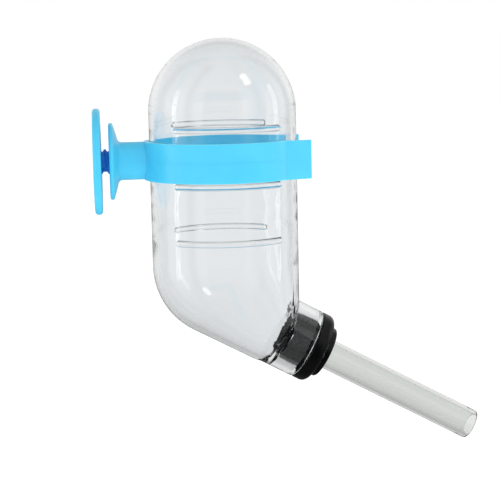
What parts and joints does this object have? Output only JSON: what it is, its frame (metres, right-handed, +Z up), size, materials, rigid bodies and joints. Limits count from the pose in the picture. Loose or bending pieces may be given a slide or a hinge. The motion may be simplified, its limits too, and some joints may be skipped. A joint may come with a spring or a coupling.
{
  "type": "rabbit water bottle",
  "caption": "Small-animal water bottle with a bent neck, rubber stopper and glass drinking tube, in a snap-in ring holder that clamps to cage wire.",
  "frame": {"origin": "where the clamp screw's axis meets the plane of the dished saddle's rim, which is the plane the cage wire bears on", "axes": "+X along the clamp screw's axis from the cage towards the bottle, +Z up along the bottle's own axis, +Y completes a right-handed frame, and the XZ plane is the plane of symmetry"},
  "size_m": [0.1253, 0.0514, 0.1353],
  "materials": {
    "holder_ring": "translucent light blue injection-moulded plastic, smooth",
    "bottle": "clear moulded plastic, polished, faintly green",
    "stopper": "smooth semi-gloss black rubber",
    "glass_tube": "clear drawn glass tubing with a fire-polished tip",
    "screw_core": "deep blue injection-moulded plastic",
    "clamp_screw": "deep blue injection-moulded plastic",
    "knob_disc": "translucent light blue injection-moulded plastic, smooth"
  },
  "bodies": {
    "holder": {"holder_ring": "holder_ring"},
    "bottle_body": {"bottle": "bottle"},
    "stopper_body": {"stopper": "stopper"},
    "spout_body": {"glass_tube": "glass_tube"},
    "screw_slide": {"screw_core": "screw_core"},
    "knob": {"clamp_screw": "clamp_screw", "knob_disc": "knob_disc"}
  },
  "joints": [
    {"name": "bottle_turn", "type": "hinge", "parent": "holder", "child": "bottle_body", "pos_m": [0.0367, 0, 0], "axis": [0, 0, 1], "continuous": true},
    {"name": "stopper_pull", "type": "slide", "parent": "bottle_body", "child": "stopper_body", "axis": [0.8771, 0, -0.4802], "range_m": [0, 0.03]},
    {"name": "tube_slide", "type": "slide", "parent": "stopper_body", "child": "spout_body", "axis": [0.8771, 0, -0.4802], "range_m": [-0.03, 0.01]},
    {"name": "knob_travel", "type": "slide", "parent": "holder", "child": "screw_slide", "axis": [1, 0, 0], "range_m": [-0.005, 0.0022]},
    {"name": "knob_turn", "type": "hinge", "parent": "screw_slide", "child": "knob", "pos_m": [0, 0, 0], "axis": [1, 0, 0], "range_deg": [-720, 316.8]}
  ],
  "couplings": [
    {"joint": "knob_travel", "follows": "knob_turn", "m_per_rad": 0.00039789}
  ]
}
